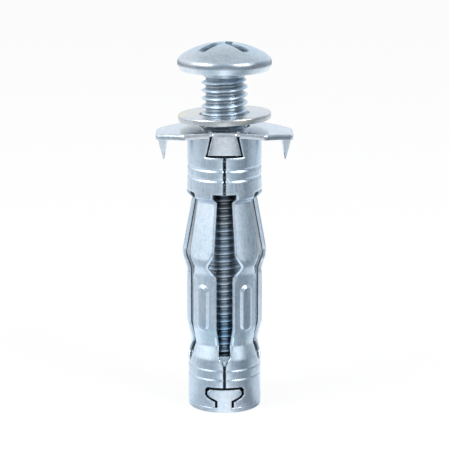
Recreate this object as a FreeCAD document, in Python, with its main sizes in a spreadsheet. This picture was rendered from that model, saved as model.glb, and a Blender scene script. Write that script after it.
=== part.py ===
import FreeCAD, Part
import math
import os
import re

import Sketcher

# Hollow wall anchor: a screw with a loose washer, a collar plate with two claws, a sleeve with five
# folding legs, and a threaded end nut.  Millimetres, +Z up.  The origin is the centre of the nut's flat
# underside, and the seam of the sleeve is in front, at -Y.

# Driving sizes: name, value and what it measures
SIZES = (
    ("thread_diameter", 5.9, "crest of the rolled M6 thread"),
    ("thread_play", 0.05, "running clearance round the thread in the nut"),
    ("screw_length", 44.2, "from the underside of the head to the tip"),
    ("tip_lift", 0.1, "tip of the screw above the nut's underside"),
    ("tip_chamfer", 0.6, "chamfer at the tip"),
    ("neck_diameter", 5.3, "plain neck under the head"),
    ("neck_length", 1.15, "plain neck under the head"),
    ("neck_flare", 0.35, "flare from the neck into the head"),
    ("head_diameter", 12.0, "mushroom head"),
    ("head_height", 3.46, "mushroom head, above its underside"),
    ("head_seat_diameter", 11.0, "flat underside of the head"),
    ("head_rim_height", 0.45, "lower edge of the rim's band above the underside"),
    ("head_rim_band", 1.0, "upright band of the rim"),
    ("recess_span", 6.6, "cross recess, across two wings, at the top of the head"),
    ("recess_width", 1.25, "cross recess, width of a wing at the top of the head"),
    ("recess_floor_span", 3.4, "cross recess, across two wings, at its floor"),
    ("recess_floor_width", 0.95, "cross recess, width of a wing at its floor"),
    ("recess_depth", 2.7, "cross recess, below the top of the head"),
    ("recess_turn", 35.0, "cross recess, turned about the screw's axis"),
    ("washer_inset", 0.05, "edge of the washer inside the rim of the head"),
    ("washer_play", 0.25, "washer round the thread"),
    ("washer_thickness", 0.8, "washer"),
    ("washer_edge", 0.15, "broken outer edges of the washer"),
    ("washer_gap", 0.25, "washer above the point that the plate's crown rises to"),
    ("washer_tilt", 2.0, "the loose washer leans on the screw"),
    ("sheet", 0.6, "sheet of the sleeve"),
    ("tube_radius", 4.75, "both tubes of the sleeve, outside"),
    ("skirt_radius", 4.87, "upper tube at its lower edge, outside"),
    ("skirt_height", 28.3, "lower edge of the upper tube"),
    ("sleeve_top", 36.25, "upper edge of the sleeve"),
    ("shoulder_height", 6.95, "top of the lower tube, where it turns in"),
    ("waist_height", 8.5, "crease between the lower tube and the legs"),
    ("waist_radius", 4.35, "crease between the lower tube and the legs, outside"),
    ("leg_count", 5.0, "legs round the sleeve"),
    ("foot_height", 11.2, "where a leg becomes flat"),
    ("low_face", 4.7, "flat lower half of a leg, distance from the axis"),
    ("low_width", 4.16, "flat lower half of a leg, width"),
    ("fold_low", 18.3, "lower end of the fold"),
    ("fold_under", 19.6, "underside of the fold's crest"),
    ("fold_crest", 20.35, "upper side of the fold's crest"),
    ("fold_face", 5.4, "crest of the fold, distance from the axis"),
    ("fold_width", 4.25, "crest of the fold, width"),
    ("knee_height", 27.75, "crease below the upper tube"),
    ("knee_face", 4.05, "upper end of a leg, distance from the axis"),
    ("knee_width", 3.41, "upper end of a leg, width"),
    ("slot_foot_width", 1.5, "slot between two legs, lower end"),
    ("slot_foot_height", 7.4, "where the slot starts to close to a point"),
    ("slot_point_height", 6.05, "lowest point of the slot"),
    ("slot_head_width", 3.1, "slot between two legs, upper end"),
    ("slot_head_height", 28.9, "upper end of the slot"),
    ("notch_depth", 0.95, "notch at the fold, cut into each side of a leg"),
    ("notch_height", 19.45, "middle of the notch"),
    ("notch_reach", 1.5, "notch, from its middle to its ends"),
    ("rib_width", 1.85, "rib on the lower half of a leg"),
    ("rib_low", 10.8, "rib, lower end"),
    ("rib_high", 17.0, "rib, upper end"),
    ("rib_rise", 0.3, "rib, above the leg"),
    ("rib_slope", 0.2, "sloping side of the rib"),
    ("groove_width", 0.56, "rolled ring groove"),
    ("groove_depth", 0.12, "rolled ring groove"),
    ("low_groove", 4.55, "lowest ring groove"),
    ("low_groove_pitch", 1.25, "ring grooves of the lower tube, apart"),
    ("high_groove", 30.75, "lower ring groove of the upper tube"),
    ("high_groove_pitch", 1.3, "ring grooves of the upper tube, apart"),
    ("seam_width", 0.25, "seam of the rolled sheet"),
    ("joint_gap", 0.12, "gap round the tabs and the ears in their notches"),
    ("plate_thickness", 0.7, "collar plate"),
    ("plate_seat_gap", 0.02, "collar plate above the sleeve's edge"),
    ("crown_fall", 0.15, "fall of the crowned plate for each millimetre outwards"),
    ("plate_length", 17.5, "collar plate, over its ends"),
    ("plate_width", 9.9, "collar plate, front to back"),
    ("plate_end_width", 4.9, "collar plate, width of an end"),
    ("plate_shoulder", 10.4, "length of the plate's straight front and back edges"),
    ("plate_corner", 1.2, "rounded corners of the plate's outline"),
    ("plate_edge", 0.25, "broken upper edge of the plate"),
    ("plate_play", 0.3, "collar plate round the thread"),
    ("claw_chord", 3.2, "claw, width across the end of the plate"),
    ("claw_depth", 1.5, "claw, depth of its gutter at the root"),
    ("claw_length", 2.95, "claw, below the plate's end"),
    ("claw_inset", 0.06, "ridge of a claw, set in from the end of the plate"),
    ("claw_lean", 0.85, "claw, point set in from the end of the plate"),
    ("claw_point", 0.1, "claw, share of its root's section that is left at the point"),
    ("tab_low", 33.85, "lower edge of a dovetail tab"),
    ("tab_low_width", 4.4, "dovetail tab, at its lower edge"),
    ("tab_top_width", 3.3, "dovetail tab, at the sleeve's upper edge"),
    ("relief_width", 0.4, "relief cut beside a tab"),
    ("flange_thickness", 0.7, "nut, flange under the sleeve"),
    ("boss_height", 7.4, "nut, top of the threaded boss"),
    ("boss_play", 0.05, "boss inside the sleeve"),
    ("boss_chamfer", 0.6, "chamfer at the top of the boss"),
    ("ear_top", 3.25, "upper edge of a T ear"),
    ("ear_arm_low", 2.05, "underside of an arm, at its end"),
    ("ear_arm_root", 1.55, "underside of an arm, at the stem"),
    ("ear_span", 4.7, "T ear, across both arms"),
    ("ear_stem", 2.1, "T ear, width of the stem"),
    ("ear_corner", 0.32, "cut corners of the arms"),
)

NAMES = {name for name, value, meaning in SIZES}
FRONT = "XZ_Plane"
FLOOR = "XY_Plane"

# Two places closer than this are taken as the same
NEAR = 0.01

document = FreeCAD.newDocument("wall_anchor")


def write_sizes():
    """Put every driving size into the sheet, one row each, with its name as the alias."""
    sheet = document.addObject("Spreadsheet::Sheet", "sizes")
    for row, (name, value, meaning) in enumerate(SIZES, start=1):
        sheet.set(f"A{row}", meaning)
        sheet.set(f"B{row}", str(value))
        sheet.setAlias(f"B{row}", name)
    document.recompute()
    return sheet


def formula(words):
    """Turn a formula in size names into one that reads the sheet."""
    return re.sub(r"[a-z_]+", lambda found: f"sizes.{found[0]}" if found[0] in NAMES else found[0], words)


def number(words):
    """Work out a formula as a plain number."""
    result = SHEET.evalExpression(formula(words))
    return float(getattr(result, "Value", result))


def bind(thing, path, words):
    """Tie one property of an object to a formula."""
    thing.setExpression(path, formula(words))


def body_named(name):
    """Start a body whose label is the piece's name."""
    body = document.addObject("PartDesign::Body", name)
    body.Label = name
    return body


def origin_part(body, role):
    """Find a plane or an axis of a body's own origin."""
    return next(part for part in body.Origin.OriginFeatures if part.Role == role)


def sketch_on(body, name, role, lift="0"):
    """Start a sketch on a plane of the body's origin, lifted along the plane's normal."""
    sketch = body.newObject("Sketcher::SketchObject", name)
    sketch.AttachmentSupport = (origin_part(body, role), [""])
    sketch.MapMode = "FlatFace"
    bind(sketch, "AttachmentOffset.Base.z", lift)
    return sketch


def arc_between(start, end, radius):
    """Minor arc from start to end; a positive radius turns left and a negative one turns right."""
    chord = end - start
    reach = math.sqrt(max(radius * radius - chord.Length ** 2 / 4, 0.0))
    side = FreeCAD.Vector(-chord.y, chord.x, 0).normalize()
    centre = (start + end) / 2 + side * math.copysign(reach, radius)
    first, last = (start, end) if radius > 0 else (end, start)
    angles = [math.atan2(point.y - centre.y, point.x - centre.x) for point in (first, last)]
    circle = Part.Circle(centre, FreeCAD.Vector(0, 0, 1), abs(radius))
    return Part.ArcOfCircle(circle, angles[0], angles[1])


def outline(sketch, corners):
    """Draw a closed outline whose corners and radii follow the sheet.

    A corner is (x, y) or (x, y, radius): the radius bends the edge that leaves the corner, to the
    left where it is written plain and to the right where it starts with a minus.  A half circle
    stands on a level chord.
    """
    places = [FreeCAD.Vector(number(corner[0]), number(corner[1]), 0) for corner in corners]
    first_edge = sketch.GeometryCount
    ends = []
    for index, corner in enumerate(corners):
        start = places[index]
        end = places[(index + 1) % len(corners)]
        if len(corner) == 2:
            sketch.addGeometry(Part.LineSegment(start, end), False)
            ends.append((1, 2))
        else:
            radius = number(corner[2])
            sketch.addGeometry(arc_between(start, end, radius), False)
            ends.append((1, 2) if radius > 0 else (2, 1))
    for index, corner in enumerate(corners):
        edge = first_edge + index
        following = (index + 1) % len(corners)
        sketch.addConstraint(
            Sketcher.Constraint("Coincident", edge, ends[index][1], first_edge + following, ends[following][0])
        )
        for kind, words, place in zip(("DistanceX", "DistanceY"), corner, places[index]):
            fixed = sketch.addConstraint(Sketcher.Constraint(kind, -1, 1, edge, ends[index][0], place))
            bind(sketch, f"Constraints[{fixed}]", words)
        if len(corner) == 2:
            continue
        radius = abs(number(corner[2]))
        if math.isclose((places[following] - places[index]).Length, 2 * radius):
            sketch.addConstraint(Sketcher.Constraint("Horizontal", edge, 3, edge, 1))
            continue
        rounded = sketch.addConstraint(Sketcher.Constraint("Radius", edge, radius))
        bind(sketch, f"Constraints[{rounded}]", corner[2].lstrip("-"))


def mirrored(corners):
    """Complete an outline from its right half, listed from bottom to top, by its mirror image."""
    left = [(f"-({corner[0]})", corner[1]) for corner in reversed(corners)]
    return [*corners, *left]


def revolve(body, name, corners):
    """Turn a profile of radius and height about the body's axis."""
    sketch = sketch_on(body, f"{name}_profile", FRONT)
    outline(sketch, corners)
    feature = body.newObject("PartDesign::Revolution", name)
    feature.Profile = sketch
    feature.ReferenceAxis = (sketch, ["V_Axis"])
    feature.Angle = 360
    document.recompute()
    return feature


def cut(body, name, sketch, length, both_ways=False):
    """Cut a sketch's outline along the sketch's own normal."""
    before = body.Shape.Volume
    feature = body.newObject("PartDesign::Pocket", name)
    feature.Profile = sketch
    feature.Reversed = True
    if both_ways:
        feature.SideType = "Symmetric"
    bind(feature, "Length", length)
    document.recompute()
    assert feature.Shape.Volume < before, f"{name} cuts nothing"
    return feature


def loft(body, name, sections):
    """Join sections by straight rulings."""
    feature = body.newObject("PartDesign::AdditiveLoft", name)
    feature.Profile = sections[0]
    feature.Sections = sections[1:]
    feature.Ruled = True
    document.recompute()
    return feature


def around(body, name, originals, count):
    """Repeat features evenly about the body's axis, or the whole body where none are named."""
    feature = body.newObject("PartDesign::PolarPattern", name)
    if originals:
        feature.Originals = originals
    else:
        feature.TransformMode = "Whole shape"
    feature.Axis = (origin_part(body, "Z_Axis"), [""])
    feature.Angle = 360
    bind(feature, "Occurrences", count)
    body.Tip = feature
    document.recompute()
    return feature


def treat_edges(body, name, kind, size, chosen):
    """Fillet or chamfer the edges that the test picks."""
    base = body.Tip
    edges = [f"Edge{index}" for index, edge in enumerate(base.Shape.Edges, start=1) if chosen(edge)]
    feature = body.newObject(f"PartDesign::{kind}", name)
    feature.Base = (base, edges)
    bind(feature, "Radius" if kind == "Fillet" else "Size", size)
    document.recompute()
    return feature


# The screw

def make_screw():
    """Mushroom-head screw: one turned profile and a tapered cross recess."""
    body = body_named("screw")
    seat = "tip_lift + screw_length"
    top = f"{seat} + head_height"
    rim = f"{seat} + head_rim_height"
    dome = "head_height - head_rim_height - head_rim_band"
    dome_radius = f"((head_diameter / 2)^2 + ({dome})^2) / (2 * ({dome}))"
    revolve(body, "turned", [
        ("0", "tip_lift"),
        ("thread_diameter / 2 - tip_chamfer", "tip_lift"),
        ("thread_diameter / 2", "tip_lift + tip_chamfer"),
        ("thread_diameter / 2", f"{seat} - neck_length"),
        ("neck_diameter / 2", f"{seat} - neck_length + (thread_diameter - neck_diameter) / 2"),
        ("neck_diameter / 2", f"{seat} - neck_flare"),
        ("neck_diameter / 2 + neck_flare", seat),
        ("head_seat_diameter / 2", seat),
        ("head_diameter / 2", rim),
        ("head_diameter / 2", f"{rim} + head_rim_band", dome_radius),
        ("0", top),
    ])
    mouth = sketch_on(body, "recess_mouth", FLOOR, top)
    outline(mouth, cross("recess_span", "recess_width"))
    floor = sketch_on(body, "recess_floor", FLOOR, f"{top} - recess_depth")
    outline(floor, cross("recess_floor_span", "recess_floor_width"))
    for sketch in (mouth, floor):
        bind(sketch, "AttachmentOffset.Rotation.Angle", "recess_turn * 1 deg")
    recess = body.newObject("PartDesign::SubtractiveLoft", "recess")
    recess.Profile = mouth
    recess.Sections = [floor]
    recess.Ruled = True
    document.recompute()
    return body


def cross(span, width):
    """Outline of a cross with square wings."""
    tip = f"{span} / 2"
    half = f"{width} / 2"
    return [
        (half, f"-{tip}"), (half, f"-{half}"), (tip, f"-{half}"), (tip, half), (half, half), (half, tip),
        (f"-{half}", tip), (f"-{half}", half), (f"-{tip}", half), (f"-{tip}", f"-{half}"),
        (f"-{half}", f"-{half}"), (f"-{half}", f"-{tip}"),
    ]


# The collar plate

UNDER_CROWN = "sleeve_top + plate_seat_gap + crown_fall * tube_radius"
OVER_CROWN = f"{UNDER_CROWN} + plate_thickness"


def crown_height(radius, thickness):
    """Height of the crowned plate at a radius, on its underside or its top."""
    return f"{UNDER_CROWN} + {thickness} - crown_fall * ({radius})"


def make_collar_plate():
    """Crowned plate with rounded corners, two gutter claws and two dovetail tabs."""
    body = body_named("collar_plate")
    revolve(body, "tab_wall", [
        ("tube_radius - sheet", "tab_low"),
        ("tube_radius", "tab_low"),
        ("tube_radius", "sleeve_top + plate_thickness / 2"),
        ("tube_radius - sheet", "sleeve_top + plate_thickness / 2"),
    ])
    spare = sketch_on(body, "tab_trim", FRONT)
    side = "2 * tube_radius"
    outline(spare, mirrored([(side, "tab_low - sheet"), (side, "sleeve_top + plate_thickness")]))
    outline(spare, dovetail("0", "plate_thickness / 2"))
    cut(body, "tabs", spare, "4 * tube_radius", both_ways=True)
    reach = "(plate_length / 2 + plate_thickness)"
    hole = "(thread_diameter / 2 + plate_play)"
    revolve(body, "crowned_disc", [
        (hole, crown_height(hole, "0")),
        (reach, crown_height(reach, "0")),
        (reach, crown_height(reach, "plate_thickness")),
        (hole, crown_height(hole, "plate_thickness")),
    ])
    trim = sketch_on(body, "trim_outline", FLOOR, "sleeve_top - plate_length")
    wide = "plate_length"
    outline(trim, [(f"-{wide}", f"-{wide}"), (wide, f"-{wide}"), (wide, wide), (f"-{wide}", wide)])
    outline(trim, mirrored([
        ("plate_shoulder / 2", "-plate_width / 2"),
        ("plate_length / 2", "-plate_end_width / 2"),
        ("plate_length / 2", "plate_end_width / 2"),
        ("plate_shoulder / 2", "plate_width / 2"),
    ]))
    cut(body, "trimmed", trim, "2 * plate_length")
    claw_top = crown_height("plate_length / 2", "plate_thickness / 2")
    claw_foot = f"{crown_height('plate_length / 2', '0')} - claw_length"
    for side, sign in (("right", "1"), ("left", "-1")):
        loft(body, f"{side}_claw", [
            claw_section(body, f"{side}_claw_root", claw_top, sign, "plate_length / 2 - claw_inset", "1"),
            claw_section(body, f"{side}_claw_tip", claw_foot, sign, "plate_length / 2 - claw_lean",
                         "claw_point"),
        ])
    treat_edges(body, "corners", "Fillet", "plate_corner", is_outline_corner)
    treat_edges(body, "upper_edge", "Chamfer", "plate_edge", is_upper_rim)
    relief = sketch_on(body, "relief_outlines", FLOOR, "sleeve_top")
    root = "sheet - tube_radius"
    for sign in ("1", "-1"):
        near = f"{sign} * tab_top_width / 2"
        far = f"{sign} * (tab_top_width / 2 + relief_width)"
        outline(relief, [(near, "-plate_width"), (far, "-plate_width"), (far, root), (near, root)])
    relief_cut = cut(body, "relief", relief, "2 * plate_thickness")
    around(body, "reliefs", [relief_cut], "2")
    return body


def is_outline_corner(edge):
    """Upright edges outside the hole are the corners of the outline."""
    box = edge.BoundBox
    return box.XLength + box.YLength < NEAR and box.ZLength > number("plate_thickness / 2")


def is_upper_rim(edge):
    """Edges that stay on the crowned top, away from the hole."""
    for point in edge.discretize(Number=3):
        from_axis = math.hypot(point.x, point.y)
        crown = number(crown_height(str(from_axis), "plate_thickness"))
        if from_axis < number("tube_radius") or abs(point.z - crown) > NEAR:
            return False
    return True


def claw_section(body, name, height, sign, outside, share):
    """V-shaped cut through a claw: the ridge is outside and the gutter opens towards the axis."""
    sketch = sketch_on(body, name, FLOOR, height)
    chord = f"{share} * claw_chord"
    depth = f"{share} * claw_depth"
    wall = f"{share} * sheet"
    outline(sketch, [
        (f"{sign} * ({outside})", "0"),
        (f"{sign} * ({outside} - {depth})", f"{chord} / 2"),
        (f"{sign} * ({outside} - {depth} - {wall} / 2)", f"{chord} / 2 - {wall} / 2"),
        (f"{sign} * ({outside} - {wall})", "0"),
        (f"{sign} * ({outside} - {depth} - {wall} / 2)", f"{wall} / 2 - {chord} / 2"),
        (f"{sign} * ({outside} - {depth})", f"-{chord} / 2"),
    ])
    return sketch


# The sleeve

def make_sleeve():
    """Five lofted legs between two rolled tubes, cut for the seam, the tabs and the ears."""
    body = body_named("sleeve")
    loft(body, "leg", leg_sections(body))
    notch = sketch_on(body, "fold_notches", FRONT)
    half = "fold_width / 2"
    outline(notch, [
        (f"{half} - notch_depth", "notch_height"),
        (f"{half} + sheet", "notch_height - notch_reach - sheet"),
        (f"{half} + sheet", "notch_height + notch_reach + sheet"),
    ])
    outline(notch, [
        (f"notch_depth - {half}", "notch_height"),
        (f"-({half} + sheet)", "notch_height + notch_reach + sheet"),
        (f"-({half} + sheet)", "notch_height - notch_reach - sheet"),
    ])
    cut(body, "fold_notch", notch, "4 * fold_face", both_ways=True)
    rib = sketch_on(body, "rib_outline", FRONT, "sheet / 2 - low_face")
    outline(rib, [
        ("-rib_width / 2", "rib_high - rib_width / 2"),
        ("-rib_width / 2", "rib_low + rib_width / 2", "rib_width / 2"),
        ("rib_width / 2", "rib_low + rib_width / 2"),
        ("rib_width / 2", "rib_high - rib_width / 2", "rib_width / 2"),
    ])
    raised = body.newObject("PartDesign::Pad", "rib")
    raised.Profile = rib
    raised.Reversed = True
    bind(raised, "Length", "sheet / 2 + rib_rise")
    document.recompute()
    treat_edges(body, "rib_edge", "Chamfer", "rib_slope", is_rib_edge)
    around(body, "legs", [], "leg_count")
    revolve(body, "lower_tube", lower_tube_profile())
    revolve(body, "upper_tube", upper_tube_profile())
    slot = sketch_on(body, "slot_ends", FRONT)
    foot = "slot_foot_width / 2"
    outline(slot, [
        ("0", "slot_point_height"),
        (foot, "slot_foot_height"),
        (foot, "waist_height"),
        (f"-{foot}", "waist_height"),
        (f"-{foot}", "slot_foot_height"),
    ])
    head = "slot_head_width / 2"
    outline(slot, mirrored([(head, "skirt_height"), (head, "slot_head_height")]))
    slot_end = cut(body, "slot_end", slot, "2 * tube_radius")
    around(body, "slot_end_ring", [slot_end], "leg_count")
    seam = sketch_on(body, "seam_outline", FRONT)
    side = "seam_width / 2"
    outline(seam, mirrored([(side, "slot_head_height - seam_width"), (side, "sleeve_top + sheet")]))
    outline(seam, mirrored([(side, "0"), (side, "slot_point_height + seam_width")]))
    cut(body, "seam", seam, "2 * tube_radius")
    joints = sketch_on(body, "joint_outlines", FRONT)
    outline(joints, dovetail("joint_gap", "sheet"))
    outline(joints, ear("joint_gap", "0"))
    cut(body, "joint_notches", joints, "4 * tube_radius", both_ways=True)
    return body


def leg_sections(body):
    """Level cuts through the rear leg, from the waist up: the sheet turns flat, folds and turns round."""
    half_step = "180 deg / leg_count"
    foot_angle = f"({half_step} - asin(slot_foot_width / 2 / waist_radius))"
    head_angle = f"({half_step} - asin(slot_head_width / 2 / skirt_radius))"
    levels = [
        ("waist_height", round_cut("waist_radius", foot_angle)),
        ("foot_height", flat_cut("low_face", "low_width")),
        ("fold_low", flat_cut("low_face", "low_width")),
        ("fold_under", flat_cut("fold_face", "fold_width")),
        ("fold_crest", flat_cut("fold_face", "fold_width")),
        ("knee_height", flat_cut("knee_face", "knee_width")),
        ("skirt_height", round_cut("skirt_radius", head_angle)),
    ]
    sections = []
    for height, corners in levels:
        sketch = sketch_on(body, f"leg_at_{height}", FLOOR, height)
        outline(sketch, corners)
        sections.append(sketch)
    return sections


def flat_cut(face, width):
    """Level cut through a flat stretch of the leg."""
    half = f"{width} / 2"
    return [(half, face), (f"-{half}", face), (f"-{half}", f"{face} - sheet"), (half, f"{face} - sheet")]


def round_cut(radius, angle):
    """Level cut through a round stretch of the leg, with its sides along the radius."""
    inner = f"({radius} - sheet)"
    return [
        (f"{radius} * sin{angle}", f"{radius} * cos{angle}", radius),
        (f"-{radius} * sin{angle}", f"{radius} * cos{angle}"),
        (f"-{inner} * sin{angle}", f"{inner} * cos{angle}", f"-{inner}"),
        (f"{inner} * sin{angle}", f"{inner} * cos{angle}"),
    ]


def is_rib_edge(edge):
    """Edges of the rib's raised face."""
    box = edge.BoundBox
    face = number("low_face + rib_rise")
    return box.YLength < NEAR and abs(box.YMin - face) < NEAR


def groove(height):
    """Rolled V groove in the wall, from below to above."""
    return [
        ("tube_radius", f"{height} - groove_width / 2"),
        ("tube_radius - groove_depth", height),
        ("tube_radius", f"{height} + groove_width / 2"),
    ]


def lower_tube_profile():
    """Wall of the lower tube, up to the waist."""
    return [
        ("tube_radius - sheet", "flange_thickness"),
        ("tube_radius", "flange_thickness"),
        *groove("low_groove"),
        *groove("low_groove + low_groove_pitch"),
        ("tube_radius", "shoulder_height"),
        ("waist_radius", "waist_height"),
        ("waist_radius - sheet", "waist_height"),
        ("tube_radius - sheet", "shoulder_height"),
    ]


def upper_tube_profile():
    """Wall of the upper tube, flared towards its lower edge."""
    return [
        ("skirt_radius - sheet", "skirt_height"),
        ("skirt_radius", "skirt_height"),
        *groove("high_groove"),
        *groove("high_groove + high_groove_pitch"),
        ("tube_radius", "sleeve_top"),
        ("tube_radius - sheet", "sleeve_top"),
        ("tube_radius - sheet", "high_groove - groove_width / 2"),
    ]


# Outlines that the sleeve shares with the plate and the nut

def dovetail(gap, rise):
    """Front outline of a dovetail, wider below, that ends above the sleeve's edge."""
    low = f"tab_low_width / 2 + {gap}"
    top = f"tab_top_width / 2 + {gap}"
    return mirrored([(low, f"tab_low - {gap}"), (top, "sleeve_top"), (top, f"sleeve_top + {rise}")])


def ear(gap, foot):
    """Front outline of a T ear, from its foot up: stem, sloping arms and cut corners."""
    stem = f"ear_stem / 2 + {gap}"
    arm = f"ear_span / 2 + {gap}"
    return mirrored([
        (stem, foot),
        (stem, f"ear_arm_root - {gap}"),
        (f"{arm} - ear_corner", f"ear_arm_low - {gap}"),
        (arm, f"ear_arm_low + ear_corner - {gap}"),
        (arm, f"ear_top - ear_corner + {gap}"),
        (f"{arm} - ear_corner", f"ear_top + {gap}"),
    ])


# The nut

def make_nut():
    """Flange and threaded boss, with two T ears that were bent up out of the flange."""
    body = body_named("nut")
    revolve(body, "ear_wall", [
        ("tube_radius - sheet", "0"),
        ("tube_radius", "0"),
        ("tube_radius", "ear_top"),
        ("tube_radius - sheet", "ear_top"),
    ])
    trim = sketch_on(body, "ear_trim", FRONT)
    wide = "2 * tube_radius"
    outline(trim, mirrored([(wide, "-sheet"), (wide, "ear_top + sheet")]))
    outline(trim, ear("0", "0"))
    cut(body, "ears", trim, "4 * tube_radius", both_ways=True)
    boss = "tube_radius - sheet - boss_play"
    bore = "thread_diameter / 2 + thread_play"
    revolve(body, "flange_and_boss", [
        (bore, "0"),
        ("tube_radius", "0"),
        ("tube_radius", "flange_thickness"),
        (boss, "flange_thickness"),
        (boss, "boss_height - boss_chamfer"),
        (f"{boss} - boss_chamfer / 2", "boss_height"),
        (bore, "boss_height"),
    ])
    return body


# The washer

def make_washer():
    """Flat washer that leans a little on the screw."""
    body = body_named("washer")
    half = "washer_thickness / 2"
    hole = "thread_diameter / 2 + washer_play"
    outside = "head_diameter / 2 - washer_inset"
    revolve(body, "ring", [
        (hole, f"-{half}"),
        (f"{outside} - washer_edge", f"-{half}"),
        (outside, f"washer_edge - {half}"),
        (outside, f"{half} - washer_edge"),
        (f"{outside} - washer_edge", half),
        (hole, half),
    ])
    bind(body, "Placement.Base.z", f"{OVER_CROWN} + washer_gap + {half}")
    body.Placement.Rotation = FreeCAD.Rotation(FreeCAD.Vector(0, -1, 0), 0)
    bind(body, "Placement.Rotation.Angle", "washer_tilt * 1 deg")
    document.recompute()
    return body


def check_and_write(bodies):
    """Stop at any failed object, and write one file for each piece."""
    document.recompute()
    for thing in document.Objects:
        failed = {"Invalid", "Error"} & set(thing.State)
        assert not failed, f"{thing.Name} has failed"
    os.makedirs("parts", exist_ok=True)
    for body in bodies:
        shape = body.Shape
        assert not shape.isNull() and shape.isValid(), f"{body.Label} has no valid shape"
        assert len(shape.Solids) == 1, f"{body.Label} is {len(shape.Solids)} solids"
        shape.exportStep(f"parts/{body.Label}.step")
        box = shape.BoundBox
        print(f"{body.Label}: {shape.Volume:.2f} mm3, z {box.ZMin:.2f} to {box.ZMax:.2f}")


SHEET = write_sizes()
check_and_write([make_screw(), make_washer(), make_collar_plate(), make_sleeve(), make_nut()])
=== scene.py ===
"""Hollow wall anchor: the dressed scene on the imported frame.

The screw, washer, collar plate, sleeve and nut are surfaces worked out with numpy in millimetres, in the
frame of the solids.  Each class holds the sizes of one sub-assembly, builds its mesh and dresses it.
"""
import logging
import math
from dataclasses import dataclass, field
from enum import Enum
from typing import Mapping, Sequence

import bmesh
import bpy
import numpy as np
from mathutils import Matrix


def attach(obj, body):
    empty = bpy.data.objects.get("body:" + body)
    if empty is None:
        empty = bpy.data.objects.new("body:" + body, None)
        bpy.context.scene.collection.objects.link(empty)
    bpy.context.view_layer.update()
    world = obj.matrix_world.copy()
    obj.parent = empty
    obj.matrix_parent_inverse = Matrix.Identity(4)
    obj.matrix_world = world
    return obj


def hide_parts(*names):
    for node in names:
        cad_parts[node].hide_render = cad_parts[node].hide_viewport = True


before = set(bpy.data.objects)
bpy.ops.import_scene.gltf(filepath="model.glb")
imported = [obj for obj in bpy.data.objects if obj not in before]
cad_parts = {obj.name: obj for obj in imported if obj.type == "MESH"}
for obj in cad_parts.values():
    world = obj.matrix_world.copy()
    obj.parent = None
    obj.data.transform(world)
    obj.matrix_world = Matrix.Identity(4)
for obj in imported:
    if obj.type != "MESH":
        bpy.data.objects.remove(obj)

LOG = logging.getLogger("wall_anchor")
MM = 0.001
TURN = 2.0 * math.pi

Colour = tuple[float, float, float]
Table = tuple[tuple[float, float], ...]
Profile = np.ndarray
Socket = bpy.types.NodeSocket
WHITE = (1.0, 1.0, 1.0, 1.0)


# Shared geometry

def smooth_step(low: float, high: float, values: np.ndarray) -> np.ndarray:
    """Rise from 0 at low to 1 at high, which may lie below low, along the cubic 3t^2 - 2t^3."""
    share = np.clip((values - low) / (high - low), 0.0, 1.0)
    return share * share * (3.0 - 2.0 * share)


def rounded(corners: Sequence[tuple[float, float, float]], steps: int = 5) -> Profile:
    """Polyline whose inner corners are replaced by arcs.

    Each corner is (radius from the axis, height, rounding).  The arc touches both sides, so its centre
    lies on the bisector at rounding / sin(half angle) from the corner.

    Args:
        corners: Corners in order; the rounding of the first and last is not used.
        steps: Pieces in each arc.

    Returns:
        The points, as rows of (radius, height).
    """
    places = np.array([corner[:2] for corner in corners], dtype=float)
    pieces = [places[:1]]
    for index in range(1, len(corners) - 1):
        here, rounding = places[index], corners[index][2]
        if rounding <= 0.0:
            pieces.append(here[None])
            continue
        before = (places[index - 1] - here) / np.linalg.norm(places[index - 1] - here)
        after = (places[index + 1] - here) / np.linalg.norm(places[index + 1] - here)
        half = 0.5 * math.acos(float(np.clip(before @ after, -1.0, 1.0)))
        setback = rounding / math.tan(half)
        centre = here + (before + after) / np.linalg.norm(before + after) * rounding / math.sin(half)
        first, last = here + before * setback - centre, here + after * setback - centre
        share = np.linspace(0.0, 1.0, steps + 1)[:, None]
        sweep = math.pi - 2.0 * half
        arc = (np.sin((1.0 - share) * sweep) * first + np.sin(share * sweep) * last) / math.sin(sweep)
        pieces.append(centre + arc)
    pieces.append(places[-1:])
    return np.vstack(pieces)


def between(limits: Sequence[float], values: np.ndarray) -> np.ndarray:
    """Bump that rises from 0 at limits 0 to 1 at limits 1, and falls again from limits 2 to limits 3."""
    return smooth_step(limits[0], limits[1], values) - smooth_step(limits[2], limits[3], values)


def rolled_edge(radius: float, distance: np.ndarray) -> np.ndarray:
    """How far a face with a quarter-round edge lies back, at a distance from that edge."""
    return radius - np.sqrt(np.maximum(radius ** 2 - np.maximum(radius - distance, 0.0) ** 2, 0.0))


def turned(profile: Profile, steps: int) -> np.ndarray:
    """Profile carried round the upright axis: (r cos a, r sin a, z).

    Args:
        profile: Rows of (radius, height).
        steps: Columns round the axis.

    Returns:
        Grid of points, one row for each profile point.
    """
    angles = np.arange(steps) * TURN / steps
    radius, height = profile[:, :1], profile[:, 1:]
    return np.stack([radius * np.cos(angles), radius * np.sin(angles), height + 0.0 * angles], axis=-1)


def along(values: Table, places: np.ndarray, blur: float = 0.0) -> np.ndarray:
    """Straight-line table of (place, value), read at places and evened out over a width.

    The evening is a mean over nine readings spread as a bell curve of the given width.

    Args:
        values: The table, in rising order of place.
        places: Where to read it.
        blur: Width of the bell curve, or 0 for none.

    Returns:
        The values at places.
    """
    table = np.array(values, dtype=float)
    if blur <= 0.0:
        return np.interp(places, table[:, 0], table[:, 1])
    shifts = np.linspace(-2.0, 2.0, 9)
    weights = np.exp(-0.5 * shifts ** 2)
    weights /= weights.sum()
    spread = places[..., None] + shifts * blur
    return np.interp(spread, table[:, 0], table[:, 1]) @ weights


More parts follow.
